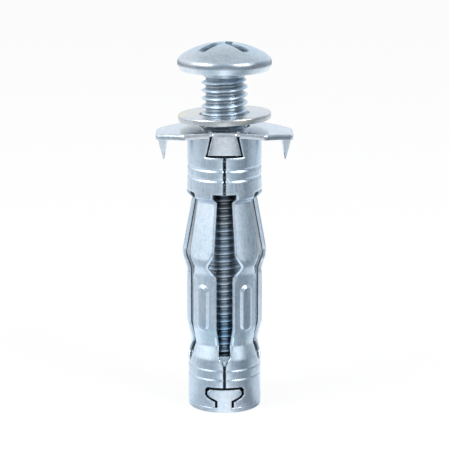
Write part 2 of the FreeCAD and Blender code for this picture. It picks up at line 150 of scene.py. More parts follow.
@dataclass
class Surfaces:
    """Grids of points in millimetres that are joined into one closed mesh."""

    points: list[np.ndarray] = field(default_factory=list)
    quads: list[np.ndarray] = field(default_factory=list)
    # Painted light and shade of each grid's points.
    shades: list[np.ndarray] = field(default_factory=list)
    count: int = 0

    def add(self, grid: np.ndarray, wrap_rows: bool = False, wrap_columns: bool = False,
            keep: np.ndarray | None = None, shade: np.ndarray | float = 1.0) -> None:
        """Take in one grid of points and its quads.

        Args:
            grid: Points, as rows x columns x 3.
            wrap_rows: Whether the last row joins the first.
            wrap_columns: Whether the last column joins the first.
            keep: Which quads stay, as rows x columns of them.
            shade: Painted light and shade at each point, as a factor on the colour: under 1 for painted
                shade in roots, recesses and on inner faces, over 1 for painted highlights.
        """
        rows, columns = grid.shape[:2]
        self.shades.append(np.broadcast_to(shade, (rows, columns)).reshape(-1))
        labels = np.arange(rows * columns).reshape(rows, columns) + self.count
        if wrap_rows:
            labels = np.vstack([labels, labels[:1]])
        if wrap_columns:
            labels = np.hstack([labels, labels[:, :1]])
        quads = np.stack([labels[:-1, :-1], labels[:-1, 1:], labels[1:, 1:], labels[1:, :-1]], axis=-1)
        self.quads.append(quads[keep] if keep is not None else quads.reshape(-1, 4))
        self.points.append(grid.reshape(-1, 3))
        self.count += rows * columns

    def add_disc(self, ring: np.ndarray) -> None:
        """Close a ring of points with a fan to its centre."""
        self.add(np.stack([ring, np.broadcast_to(ring.mean(axis=0), ring.shape)]), wrap_columns=True)

    def add_sheet(self, outer: np.ndarray, inner: np.ndarray, shade: float = 1.0) -> None:
        """Take in both faces of a strip of sheet and close its four sides.

        Args:
            outer: Points of the outer face.
            inner: Points of the inner face, in the same order.
            shade: Painted light on the outer face, as a factor on its colour.
        """
        self.add(outer, shade=shade)
        self.add(inner)
        for end in (0, -1):
            self.add(np.stack([outer[end], inner[end]]))
        for end in (0, -1):
            self.add(np.stack([outer[:, end], inner[:, end]]))

    def make(self, name: str, sharp: float = 38.0) -> bpy.types.Object:
        """Weld the grids, turn every face outwards and link the object.

        Args:
            name: Name of the piece.
            sharp: Angle in degrees from which an edge is drawn sharp.

        Returns:
            The new object, at the origin.
        """
        points = np.vstack(self.points).astype(np.float32) * MM
        quads = np.vstack(self.quads).astype(np.int32)
        mesh = bpy.data.meshes.new(name)
        mesh.vertices.add(len(points))
        mesh.vertices.foreach_set("co", points.ravel())
        mesh.loops.add(quads.size)
        mesh.loops.foreach_set("vertex_index", quads.ravel())
        mesh.polygons.add(len(quads))
        mesh.polygons.foreach_set("loop_start", np.arange(0, quads.size, 4, dtype=np.int32))
        mesh.update(calc_edges=True)
        # The shade attribute carries the painted light and shade that the finishes multiply into the colour.
        shades = mesh.attributes.new("shade", "FLOAT", "POINT")
        shades.data.foreach_set("value", np.concatenate(self.shades).astype(np.float32))
        shape = bmesh.new()
        shape.from_mesh(mesh)
        bmesh.ops.remove_doubles(shape, verts=shape.verts, dist=1.2e-7)
        bmesh.ops.dissolve_degenerate(shape, edges=shape.edges, dist=1.0e-8)
        bmesh.ops.recalc_face_normals(shape, faces=shape.faces)
        shape.to_mesh(mesh)
        shape.free()
        mesh.shade_smooth()
        mesh.set_sharp_from_angle(angle=math.radians(sharp))
        piece = bpy.data.objects.new(name, mesh)
        bpy.context.scene.collection.objects.link(piece)
        return piece


# Finishes

@dataclass
class Wiring:
    """Shader nodes of one material or world, added one at a time."""

    tree: bpy.types.NodeTree

    @classmethod
    def of(cls, owner: bpy.types.Material | bpy.types.World) -> "Wiring":
        """Start the nodes of a material or a world afresh.

        Args:
            owner: The material or the world.

        Returns:
            Its empty wiring.
        """
        owner.use_nodes = True
        owner.node_tree.nodes.clear()
        return cls(owner.node_tree)

    def add(self, kind: str, inputs: Mapping[str | int, object] | None = None,
            **settings: object) -> bpy.types.Node:
        """Add a node, set it up, and link its inputs or give them values.

        Args:
            kind: Kind of the node, without the leading "ShaderNode".
            inputs: By name or number of an input, the socket to link to it or its value.
            settings: Other properties of the node.

        Returns:
            The node.
        """
        node = self.tree.nodes.new("ShaderNode" + kind)
        for name, value in settings.items():
            setattr(node, name, value)
        for name, value in (inputs or {}).items():
            if isinstance(value, Socket):
                self.tree.links.new(value, node.inputs[name])
            else:
                node.inputs[name].default_value = value
        return node

    def maths(self, operation: str, first: Socket, second: Socket | float) -> Socket:
        """Work out one sum."""
        return self.add("Math", {0: first, 1: second}, operation=operation).outputs[0]

    def scaled(self, colour: Socket, factor: Socket | float) -> Socket:
        """Multiply a colour by a number."""
        return self.add("VectorMath", {0: colour, "Scale": factor}, operation="SCALE").outputs["Vector"]

    def noise(self, vector: Socket, scale: float, detail: float, roughness: float) -> Socket:
        """Read a noise at a place."""
        inputs = {"Vector": vector, "Scale": scale, "Detail": detail, "Roughness": roughness}
        return self.add("TexNoise", inputs).outputs["Fac"]

    def remap(self, value: Socket, low: float, high: float, to_low: float = 0.0, to_high: float = 1.0,
              **settings: object) -> Socket:
        """Stretch a value from one span to another and clamp it."""
        inputs = {"Value": value, "From Min": low, "From Max": high, "To Min": to_low, "To Max": to_high}
        return self.add("MapRange", inputs, **settings).outputs["Result"]

    def ramp(self, factor: Socket, stops: Sequence[tuple[float, Sequence[float]]],
             interpolation: str = "LINEAR") -> Socket:
        """Read a colour off a ramp.

        Args:
            factor: Where to read it, from 0 to 1.
            stops: Places and colours of the ramp.
            interpolation: How the colours run into each other.

        Returns:
            The colour.
        """
        node = self.add("ValToRGB", {"Fac": factor})
        node.color_ramp.interpolation = interpolation
        elements = node.color_ramp.elements
        for index, (place, colour) in enumerate(stops):
            element = elements[index] if index < 2 else elements.new(place)
            element.position = place
            element.color = (*colour, 1.0)
        return node.outputs["Color"]

    def mix(self, share: Socket, first: Socket, second: Socket) -> Socket:
        """Mix two shaders, the second by the share."""
        return self.add("MixShader", {"Fac": share, 1: first, 2: second}).outputs["Shader"]


class Grain(Enum):
    """Which way the fine marks of a finish run."""

    ROLLED = (60.0, 60.0, 6.0)
    TURNED = (8.0, 8.0, 70.0)
    STAMPED = (30.0, 30.0, 30.0)


@dataclass(frozen=True)
class Zinc:
    """Electroplated zinc on steel with a thin passivation film.

    Three broad tints drift over the surface, a fine mottle breaks up the colour, faint marks follow the
    grain, and both change the roughness and the relief.
    """

    name: str
    slot: str
    plain: Colour
    cool: Colour
    warm: Colour
    warmth: float = 0.45
    roughness: float = 0.27
    spread: float = 0.14
    grain: Grain = Grain.ROLLED
    relief: float = 0.25
    patch: float = 130.0
    speck: float = 1900.0
    mark: float = 62.0

    def material(self) -> bpy.types.Material:
        """Build the node tree.

        Returns:
            The material, ready to assign.
        """
        material = bpy.data.materials.new(self.name)
        wiring = Wiring.of(material)
        place = wiring.add("TexCoord").outputs["Object"]
        patches = wiring.noise(place, self.patch, 3.0, 0.55)
        mottle = wiring.noise(place, self.speck, 6.0, 0.7)
        stretched = wiring.add("Mapping", {"Vector": place, "Scale": self.grain.value}).outputs["Vector"]
        marks = wiring.noise(stretched, self.mark, 8.0, 0.72)
        tints = ((0.26, self.cool), (0.5, self.plain), (0.5 + self.warmth * 0.5, self.warm))
        coloured = wiring.ramp(patches, tints, "EASE")
        for factor in (
            wiring.remap(mottle, 0.3, 0.7, 0.86, 1.1),
            wiring.remap(marks, 0.35, 0.68, 0.93, 1.05),
            # Painted light and shade from the mesh's shade attribute.
            wiring.add("Attribute", attribute_name="shade").outputs["Fac"],
        ):
            coloured = wiring.scaled(coloured, factor)
        rough = wiring.maths(
            "ADD",
            wiring.remap(patches, 0.25, 0.75, self.roughness - 0.04, self.roughness + 0.05),
            wiring.remap(marks, 0.3, 0.7, -self.spread / 2, self.spread / 2),
        )
        fine = wiring.add("Bump", {"Strength": self.relief, "Distance": 0.00002, "Height": mottle})
        drawn = wiring.add("Bump", {"Strength": self.relief * 0.6, "Distance": 0.00003, "Height": marks,
                                    "Normal": fine.outputs["Normal"]})
        shader = wiring.add("BsdfPrincipled", {"Metallic": 1.0, "Base Color": coloured, "Roughness": rough,
                                               "Normal": drawn.outputs["Normal"]})
        wiring.add("OutputMaterial", {"Surface": shader.outputs["BSDF"]})
        return material


SCREW_ZINC = Zinc(
    "screw_plating", "screw_zinc", (0.65, 0.75, 0.84), (0.46, 0.66, 0.82), (0.74, 0.78, 0.82),
    grain=Grain.TURNED, roughness=0.30)
WASHER_ZINC = Zinc(
    "washer_plating", "washer_zinc", (0.80, 0.81, 0.82), (0.66, 0.72, 0.78), (0.94, 0.87, 0.68),
    grain=Grain.STAMPED, roughness=0.28, patch=190.0)
PLATE_ZINC = Zinc(
    "plate_plating", "plate_zinc", (0.76, 0.83, 0.89), (0.68, 0.78, 0.88), (0.82, 0.83, 0.88),
    grain=Grain.STAMPED, roughness=0.21)
SLEEVE_ZINC = Zinc(
    "sleeve_plating", "sleeve_zinc", (0.74, 0.85, 0.95), (0.65, 0.80, 0.94), (0.80, 0.85, 0.93),
    grain=Grain.ROLLED, roughness=0.29)
NUT_ZINC = Zinc(
    "nut_plating", "nut_zinc", (0.68, 0.77, 0.85), (0.60, 0.72, 0.83), (0.74, 0.79, 0.86),
    grain=Grain.STAMPED, roughness=0.30)


def dress(piece: bpy.types.Object, finish: Zinc, node: str, body: str) -> None:
    """Give a piece its finish and its body, and hide the solid that it stands for.

    Args:
        piece: The finished object.
        finish: Its plating.
        node: The solid that it stands for.
        body: The body that it rides on.
    """
    piece.data.materials.append(finish.material())
    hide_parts(node)
    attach(piece, body)
    LOG.info("%s: %d faces", piece.name, len(piece.data.polygons))


# The screw

@dataclass
class Screw:
    """Mushroom-head screw with a rolled thread, a plain neck and a cross recess.

    Painted shade darkens the thread between the heights of root_dim and crest_dim, where the sleeve shades
    it at rest.
    """

    crest: float = 2.95
    core: float = 2.37
    pitch: float = 1.0
    phase: float = 0.10
    tip: float = 0.1
    thread_end: float = 43.45
    neck: float = 2.65
    seat: float = 44.22
    seat_radius: float = 5.62
    head_radius: float = 5.998
    rim: float = 44.95
    band: float = 0.80
    top: float = 47.76
    neck_base: float = 43.2
    recess_turn: float = 43.0
    recess_depth: float = 2.7
    recess_span: float = 8.0
    recess_width: float = 1.35
    floor_span: float = 4.2
    floor_width: float = 0.95
    recess_field: float = 4.5
    # Painted light and shade on the thread: factors on the colour of its roots and crests, and how far they
    # fall between the given heights.
    painted_root_shade: float = 0.60
    painted_crest_light: float = 1.15
    root_dim: tuple[float, ...] = (23.0, 28.5, 35.5, 38.0)
    root_fall: float = 0.28
    crest_dim: tuple[float, ...] = (24.0, 27.0, 32.5, 33.5)
    crest_fall: float = 0.55
    # Painted light under the rim over these radii, and painted shade on the rim's band.
    underside: tuple[float, float] = (4.6, 5.4)
    painted_underside_light: float = 0.28
    painted_band_shade: float = 0.26
    edge_fall: float = 0.6
    steps: int = 72
    head_steps: int = 288

    def thread_profile(self) -> Profile:
        """One pitch of the thread: root, flank, rounded crest, flank, root.

        Returns:
            Rows of (radius, share of the pitch).
        """
        share = np.array([0.0, 0.08, 0.12, 0.17, 0.25, 0.33, 0.40, 0.435, 0.465, 0.5])
        radius = np.array([0.0, 0.0, 0.03, 0.14, 0.39, 0.65, 0.88, 0.965, 0.995, 1.0])
        share = np.concatenate([share, 1.0 - share[-2::-1]])
        radius = np.concatenate([radius, radius[-2::-1]])
        return np.stack([self.core + (self.crest - self.core) * radius, share], axis=1)

    def shank(self, surfaces: Surfaces) -> None:
        """Threaded shank: the pitch profile carried up a right-hand helix.

        A point is (r cos a, r sin a, pitch (a / turn + share)).  Heights past either end are held there,
        where the ridge has faded into the core, so the ribbon closes on two level rings.

        Args:
            surfaces: Where the shank goes.
        """
        profile = self.thread_profile()
        turns = math.ceil((self.thread_end - self.tip) / self.pitch) + 3
        angles = np.arange(turns * self.steps + 1) * TURN / self.steps
        start = self.tip - 2.0 * self.pitch
        crest_shift = self.phase - 0.5 * self.pitch - start % self.pitch
        height = start + crest_shift + self.pitch * (angles[None] / TURN + profile[:, 1:])
        radius = np.broadcast_to(profile[:, :1], height.shape)
        fade = 1.0 - smooth_step(self.thread_end - 0.6, self.thread_end - 0.1, height)
        radius = self.core + (radius - self.core) * fade
        radius = np.minimum(radius, self.core - 0.1 + np.maximum(height - self.tip, 0.0))
        height = np.clip(height, self.tip, self.thread_end)
        ribbon = np.stack([radius * np.cos(angles), radius * np.sin(angles), height], axis=-1)
        rise = (radius - self.core) / (self.crest - self.core)
        # Painted shade in the roots and a painted highlight on the crests, both lowered where the sleeve
        # would shade the thread.
        root = self.painted_root_shade - self.root_fall * between(self.root_dim, height)
        crest = self.painted_crest_light - self.crest_fall * between(self.crest_dim, height)
        surfaces.add(ribbon, shade=root + (crest - root) * smooth_step(0.1, 0.95, rise))
        for end in ([self.core - 0.1, self.tip], [self.core, self.thread_end]):
            surfaces.add_disc(turned(np.array([end]), self.steps)[0])

    def dome_height(self, radius: np.ndarray) -> np.ndarray:
        """Height of the dome: a ball through its top and its rim, whose radius is (R^2 + rise^2) / 2 rise.

        Args:
            radius: Distances from the axis.

        Returns:
            The heights there.
        """
        rise = self.top - self.rim - self.band
        ball = (self.head_radius ** 2 + rise ** 2) / (2.0 * rise)
        return self.top - ball + np.sqrt(ball ** 2 - np.asarray(radius) ** 2)

    def cross_outline(self, span: float, width: float, soften: int) -> np.ndarray:
        """Distance from the centre to the edge of a cross with soft corners, over the head's columns.

        In each direction it is the nearer of the wing's end, span / cosine, and the wing's side,
        width / sine, taken for the nearest wing, and then evened over a few columns.

        Args:
            span: Across two wings.
            width: Of one wing.
            soften: Columns to even over, each way.

        Returns:
            One distance for each column.
        """
        angles = np.arange(self.head_steps) * TURN / self.head_steps - math.radians(self.recess_turn)
        folded = np.abs((angles + TURN / 8) % (TURN / 4) - TURN / 8)
        reach = np.minimum(span / 2 / np.cos(folded), width / 2 / np.maximum(np.sin(folded), 1e-6))
        window = np.hanning(2 * soften + 3)[1:-1]
        padded = np.concatenate([reach[-soften:], reach, reach[:soften]])
        return np.convolve(padded, window / window.sum(), mode="valid")

    def head(self, surfaces: Surfaces) -> None:
        """Neck, underside, rim and dome as one turned form, and the recess sunk into its top.

        Loops of the recess run from a circle on the dome to the cross outline, down to the smaller cross of
        its floor and in to the middle.

        Args:
            surfaces: Where the head goes.
        """
        rim_side = self.rim + self.band
        under = rounded([
            (0.0, self.neck_base, 0.0), (2.2, self.neck_base, 0.0),
            (self.core + 0.05, self.neck_base + 0.05, 0.05),
            (self.neck + 0.02, self.thread_end, 0.1), (self.neck + 0.12, self.seat + 0.02, 0.42),
            (self.seat_radius, self.seat, 0.12), (self.head_radius, self.rim, 0.3),
            (self.head_radius, self.rim + 0.3, 0.0),
        ])
        start = self.dome_height(np.array(self.head_radius - self.edge_fall))
        edge = rounded([
            (self.head_radius, self.rim + 0.3, 0.0), (self.head_radius, rim_side - 0.14, 0.8),
            (self.head_radius - self.edge_fall, float(start), 0.0),
        ], steps=9)
        radii = np.linspace(self.head_radius - 0.75, self.recess_field, 10)
        dome = np.stack([radii, self.dome_height(radii)], axis=1)
        line = np.vstack([under, edge[1:], dome])
        # Painted light on the underside of the rim, and painted shade on the rim's band.
        pale = (smooth_step(self.rim + 0.15, self.rim - 0.05, line[:, 1])
                * smooth_step(*self.underside, line[:, 0]))
        band_shade_share = (smooth_step(self.rim - 0.05, self.rim + 0.15, line[:, 1])
                * smooth_step(rim_side, rim_side - 0.2, line[:, 1]))
        surfaces.add(turned(line, self.head_steps), wrap_columns=True,
                     shade=(1.0 + self.painted_underside_light * pale - self.painted_band_shade * band_shade_share)[:, None])
        angles = np.arange(self.head_steps) * TURN / self.head_steps
        mouth = self.cross_outline(self.recess_span, self.recess_width, 3)
        floor = self.cross_outline(self.floor_span, self.floor_width, 3)
        rows = []
        for share in np.linspace(0.0, 1.0, 9):
            radius = self.recess_field + (mouth + 0.14 - self.recess_field) * share
            rows.append(np.stack([radius, self.dome_height(radius)], axis=1))
        for grow, drop in ((0.07, 0.02), (0.025, 0.06), (0.0, 0.13)):
            rows.append(np.stack([mouth + grow, self.dome_height(mouth) - drop], axis=1))
        bottom = self.top - self.recess_depth + 0.35
        wall_top = self.dome_height(mouth) - 0.13
        for share in (0.25, 0.5, 0.75, 0.96):
            radius = mouth + (floor - mouth) * share
            rows.append(np.stack([radius, wall_top + (bottom - wall_top) * share], axis=1))
        for share in (0.9, 0.6, 0.3, 0.0):
            level = np.full_like(floor, bottom - 0.12 - 0.23 * (1.0 - share))
            rows.append(np.stack([floor * share, level], axis=1))
        loops = np.array(rows)
        radius, height = loops[..., 0], loops[..., 1]
        grid = np.stack([radius * np.cos(angles), radius * np.sin(angles), height], axis=-1)
        sunk = self.dome_height(radius) - height
        # Painted shade, deeper down the recess.
        surfaces.add(grid, wrap_columns=True, shade=1.0 - 0.5 * smooth_step(0.05, 0.5, sunk))

    def build(self) -> bpy.types.Object:
        """Make the screw and dress it.

        Returns:
            The screw.
        """
        surfaces = Surfaces()
        self.shank(surfaces)
        self.head(surfaces)
        piece = surfaces.make("screw_threaded", sharp=50.0)
        dress(piece, SCREW_ZINC, "screw", "screw")
        return piece


# The washer

@dataclass
class Washer:
    """Stamped washer: rolled upper edge, sharper lower edge, leaning on the screw."""

    hole: float = 3.2
    outside: float = 5.95
    thickness: float = 0.8
    height: float = 38.3325
    tilt: float = 2.0
    wave: float = 0.012
    steps: int = 256

    def build(self) -> bpy.types.Object:
        """Turn the section, lean it about the line from front to back, and dress it.

        Returns:
            The washer.
        """
        half = self.thickness / 2
        section = rounded([
            (self.hole + 0.8, half - 0.004, 0.0), (self.outside, half, 0.2), (self.outside, 0.0, 0.0),
            (self.outside - 0.02, -half, 0.07), (self.hole, -half, 0.1), (self.hole, half, 0.16),
            (self.hole + 0.8, half - 0.004, 0.0),
        ], steps=6)[:-1]
        grid = turned(section, self.steps)
        angles = np.arange(self.steps) * TURN / self.steps
        outwards = smooth_step(self.hole, self.outside, np.hypot(grid[..., 0], grid[..., 1]))
        grid[..., 2] += self.wave * np.sin(2.0 * angles + 0.6) * outwards - self.wave
        lean = math.radians(self.tilt)
        leaning = np.stack([
            grid[..., 0] * math.cos(lean) - grid[..., 2] * math.sin(lean),
            grid[..., 1],
            grid[..., 0] * math.sin(lean) + grid[..., 2] * math.cos(lean) + self.height,
        ], axis=-1)
        surfaces = Surfaces()
        surfaces.add(leaning, wrap_rows=True, wrap_columns=True)
        piece = surfaces.make("washer_stamped")
        dress(piece, WASHER_ZINC, "washer", "washer")
        return piece


# The collar plate

@dataclass
class CollarPlate:
    """Crowned plate with rolled edges, two gutter claws and two dovetail tabs bent down from it."""

    length: float = 17.5
    width: float = 9.9
    end_width: float = 4.9
    shoulder: float = 10.4
    corner: float = 1.2
    thickness: float = 0.7
    hole: float = 3.25
    upper_roll: float = 0.27
    lower_roll: float = 0.09
    crown: float = 43.0
    seat: float = 36.27
    tube: float = 4.75
    sheet: float = 0.6
    tab_low: float = 33.99
    bow: float = 0.5
    tab_low_width: float = 4.22
    tab_top_width: float = 3.12
    # Painted light on the tabs' outer faces, as a factor on the colour.
    tab_painted_light: float = 1.08
    tab_bend: float = 0.62
    relief: float = 0.4
    claw_chord: float = 3.2
    claw_depth: float = 1.5
    claw_tip: tuple[float, float, float] = (0.1, 0.06, 0.08)
    claw_length: float = 2.95
    claw_lean: float = 0.85

    def crown_height(self, radius: np.ndarray, thickness: float) -> np.ndarray:
        """Height of the crowned sheet: the cap of a ball that meets the sleeve's edge.

        Args:
            radius: Distances from the axis.
            thickness: How far above the plate's lower face.

        Returns:
            The heights there.
        """
        ball = self.crown + thickness
        middle = self.seat + self.crown - math.sqrt(self.crown ** 2 - self.tube ** 2)
        return middle + thickness - ball + np.sqrt(ball ** 2 - radius ** 2)

    def edge_line(self) -> tuple[np.ndarray, np.ndarray]:
        """Outline of the plate and the way out of it at each point.

        The eight-cornered outline has its corners replaced by arcs, is read at even steps with extra ones
        beside the tabs, and its normal is the tangent turned by a right angle.

        Returns:
            Points and unit normals, as rows of (x, y).
        """
        half_x, half_y = self.length / 2, self.width / 2
        end, side, corner = self.end_width / 2, self.shoulder / 2, self.corner
        line = rounded([
            (0.0, -half_y, 0.0), (side, -half_y, corner), (half_x, -end, corner), (half_x, end, corner),
            (side, half_y, corner), (0.0, half_y, 0.0), (-side, half_y, corner), (-half_x, end, corner),
            (-half_x, -end, corner), (-side, -half_y, corner), (0.0, -half_y, 0.0),
        ], steps=10)
        steps = np.linalg.norm(np.diff(line, axis=0), axis=1)
        run = np.concatenate([[0.0], np.cumsum(steps)])
        outer = self.tab_top_width / 2 + self.relief
        marks = np.array([outer - 0.002, outer, outer + 0.05, outer + 0.12])
        total = run[-1]
        extra = np.concatenate([marks, total / 2 - marks, total / 2 + marks, total - marks])
        places = np.unique(np.concatenate([np.linspace(0.0, total, 360, endpoint=False), extra, run[:-1]]))
        points = np.stack([np.interp(places, run, line[:, axis]) for axis in (0, 1)], axis=1)
        ahead = np.roll(points, -1, axis=0) - points
        ahead /= np.linalg.norm(ahead, axis=1)[:, None]
        tangent = ahead + np.roll(ahead, 1, axis=0)
        tangent /= np.linalg.norm(tangent, axis=1)[:, None]
        return points, np.stack([tangent[:, 1], -tangent[:, 0]], axis=1)

    def plate(self, surfaces: Surfaces) -> None:
        """Sheet of the plate: loops from the hole out over the top, round the edge and back below.

        A loop is the outline moved inwards, with the inner ones blended towards the hole's circle, and its
        height is that of the crown at its distance from the axis.

        Args:
            surfaces: Where the sheet goes.
        """
        line, out = self.edge_line()
        reach = self.tab_top_width / 2 + self.relief
        notched = np.abs(line[:, 0]) < reach - 0.001
        sink = np.where(notched, self.width / 2 - self.tube + self.sheet, 0.0)
        angles = np.arctan2(line[:, 1], line[:, 0])
        ring = np.stack([np.cos(angles), np.sin(angles)], axis=1)
        inner = line - out * 0.95

        def loop(points: np.ndarray, thickness: float, drop: float) -> np.ndarray:
            """Lift a flat loop onto the crown."""
            radius = np.hypot(points[:, 0], points[:, 1])
            return np.column_stack([points, self.crown_height(radius, thickness) + drop])

        top = self.thickness
        turn = np.linspace(0.0, math.pi / 2, 6)
        rows = [loop(ring * (self.hole + grow), top, -drop)
                for grow, drop in ((0.0, 0.16), (0.03, 0.07), (0.09, 0.015), (0.18, 0.0))]
        wide = ring * (self.hole + 0.18)
        rows += [loop(wide + (inner - wide) * share, top, 0.0)
                 for share in (0.15, 0.3, 0.45, 0.6, 0.75, 0.88, 1.0)]
        edge = line - out * sink[:, None]
        for roll in (0.5, 0.36):
            rows.append(loop(line - out * np.maximum(sink, roll)[:, None], top, 0.0))
        upper, lower = self.upper_roll, self.lower_roll
        rows += [loop(edge - out * upper * (1.0 - math.sin(angle)), top, -upper * (1.0 - math.cos(angle)))
                 for angle in turn]
        rows += [loop(edge - out * lower * (1.0 - math.cos(angle)), 0.0, lower * (1.0 - math.sin(angle)))
                 for angle in turn]
        for roll in (0.36, 0.5):
            rows.append(loop(line - out * np.maximum(sink, roll)[:, None], 0.0, 0.0))
        rows += [loop(inner + (wide - inner) * share, 0.0, 0.0) for share in (0.0, 0.3, 0.6, 1.0)]
        rows.append(loop(ring * self.hole, 0.0, 0.08))
        surfaces.add(np.array(rows), wrap_rows=True, wrap_columns=True)

    def tab(self, surfaces: Surfaces, turn: float) -> None:
        """Dovetail tab: a strip that leaves the plate level, bends down and follows the tube.

        Down the strip the half width opens from the top width to the lower one.  Across it the wall's
        distance is the circle's chord, sqrt(tube^2 - x^2), and the bend is a quarter circle beside it.

        Args:
            surfaces: Where the strip goes.
            turn: 1 for the front tab and -1 for the rear one.
        """
        ends = np.array([1.0, 0.985, 0.955, 0.9])
        rolling = np.array([0.09, 0.045, 0.012, 0.0])
        across = np.concatenate([-ends, np.linspace(-0.75, 0.75, 9), ends[::-1]])
        roll = np.concatenate([rolling, np.zeros(9), rolling[::-1]])
        crown_top = float(self.crown_height(np.array(4.3), self.thickness))
        bend = self.tab_bend

        def face(depth: float, roll_share: float) -> np.ndarray:
            """One side of the strip.

            Args:
                depth: How far it lies below the outer face.
                roll_share: How far its edges are rolled, up to 1.

            Returns:
                Its grid of points.
            """
            radius = bend - depth
            level = np.linspace(0.9, 0.0, 5)
            quarter = np.linspace(0.0, math.pi / 2, 9)
            drop = np.array([0.05, 0.2, 0.6, 1.0, 1.4, 1.8, 2.2, 2.34, 2.4, 2.44, 2.46])
            low = crown_top - bend - self.tab_low
            drop = np.minimum(drop / drop[-1] * low, low)
            inward = np.concatenate([
                bend + level[:-1], bend - radius * np.sin(quarter), np.full(len(drop), depth)])
            height = np.concatenate([
                np.full(4, crown_top - depth), crown_top - bend + radius * np.cos(quarter),
                crown_top - bend - drop,
            ])
            fall = np.clip((self.seat - height) / (self.seat - self.tab_low), 0.0, 1.0)
            half = (self.tab_top_width + (self.tab_low_width - self.tab_top_width) * fall) / 2
            x = across[None] * half[:, None]
            end_roll = np.concatenate([np.zeros(len(inward) - 4), rolling[::-1]]) * roll_share
            sunk = (roll[None] * roll_share + end_roll[:, None]) * (1.0 if depth == 0.0 else -1.0)
            wall = self.tube - self.bow * (self.tube - np.sqrt(self.tube ** 2 - x ** 2))
            level_part = np.clip((inward[:, None] - depth) / (bend - depth + 1e-9), 0.0, 1.0)
            y = -(wall - inward[:, None] - sunk * (1.0 - level_part))
            z = height[:, None] - 0.02 - sunk * level_part
            return np.stack([x * turn, y * turn, z], axis=-1)

        # Painted light on the tab's outer face.
        surfaces.add_sheet(face(0.0, 1.0), face(self.sheet, 0.5), self.tab_painted_light)

    def claw(self, surfaces: Surfaces, side: float) -> None:
        """Gutter claw: a V section with a soft ridge, carried down to a leaning point.

        Across the claw the ridge falls back by depth times sqrt(p^2 + 0.02), with p from -1 to 1 over the
        chord.  Chord, depth and wall shrink down the claw, and its point leans inwards.

        Args:
            surfaces: Where the claw goes.
            side: 1 for the right claw and -1 for the left one.
        """
        down = np.linspace(0.0, 1.0, 26)[:, None]
        across = np.linspace(-1.0, 1.0, 21)[None]
        root = float(self.crown_height(np.array(self.length / 2), self.thickness)) - 0.1
        foot = float(self.crown_height(np.array(self.length / 2), 0.0)) - self.claw_length
        shrink = 1.0 - down ** 1.15
        tip_chord, tip_depth, tip_wall = self.claw_tip
        chord = tip_chord + (self.claw_chord - tip_chord) * shrink
        depth = tip_depth + (self.claw_depth - tip_depth) * shrink
        wall = tip_wall + (self.sheet - tip_wall) * shrink ** 0.8
        ridge = self.length / 2 - 0.05 - self.claw_lean * down ** 1.25
        back = np.sqrt(across ** 2 + 0.02) - math.sqrt(0.02)
        thin = 1.0 - 0.45 * np.abs(across) ** 6
        outer_x = ridge - depth * back - 0.12 * (1 - thin)
        inner_x = ridge - depth * back - wall * thin
        y = chord / 2 * across + 0.0 * down
        z = root + (foot - root) * down + 0.0 * across
        outer = np.stack([outer_x * side, y, z], axis=-1)
        inner = np.stack([inner_x * side, y * 0.98, z], axis=-1)
        surfaces.add_sheet(outer, inner)

    def build(self) -> bpy.types.Object:
        """Make the plate with its claws and tabs, and dress it.

        Returns:
            The collar plate.
        """
        surfaces = Surfaces()
        self.plate(surfaces)
        for side in (1.0, -1.0):
            self.tab(surfaces, side)
            self.claw(surfaces, side)
        piece = surfaces.make("collar_plate_stamped")
        dress(piece, PLATE_ZINC, "collar_plate", "anchor")
        return piece


# The sleeve

class Edge(Enum):
    """What lies along one long side of half a leg."""

    MIDDLE = "middle of a leg, joined"
    JOINTS = "middle of the rear leg, with notches for a tab and an ear"
    SLOT = "slot between two legs"
    SEAM = "slot in front, with the seam and the notches"


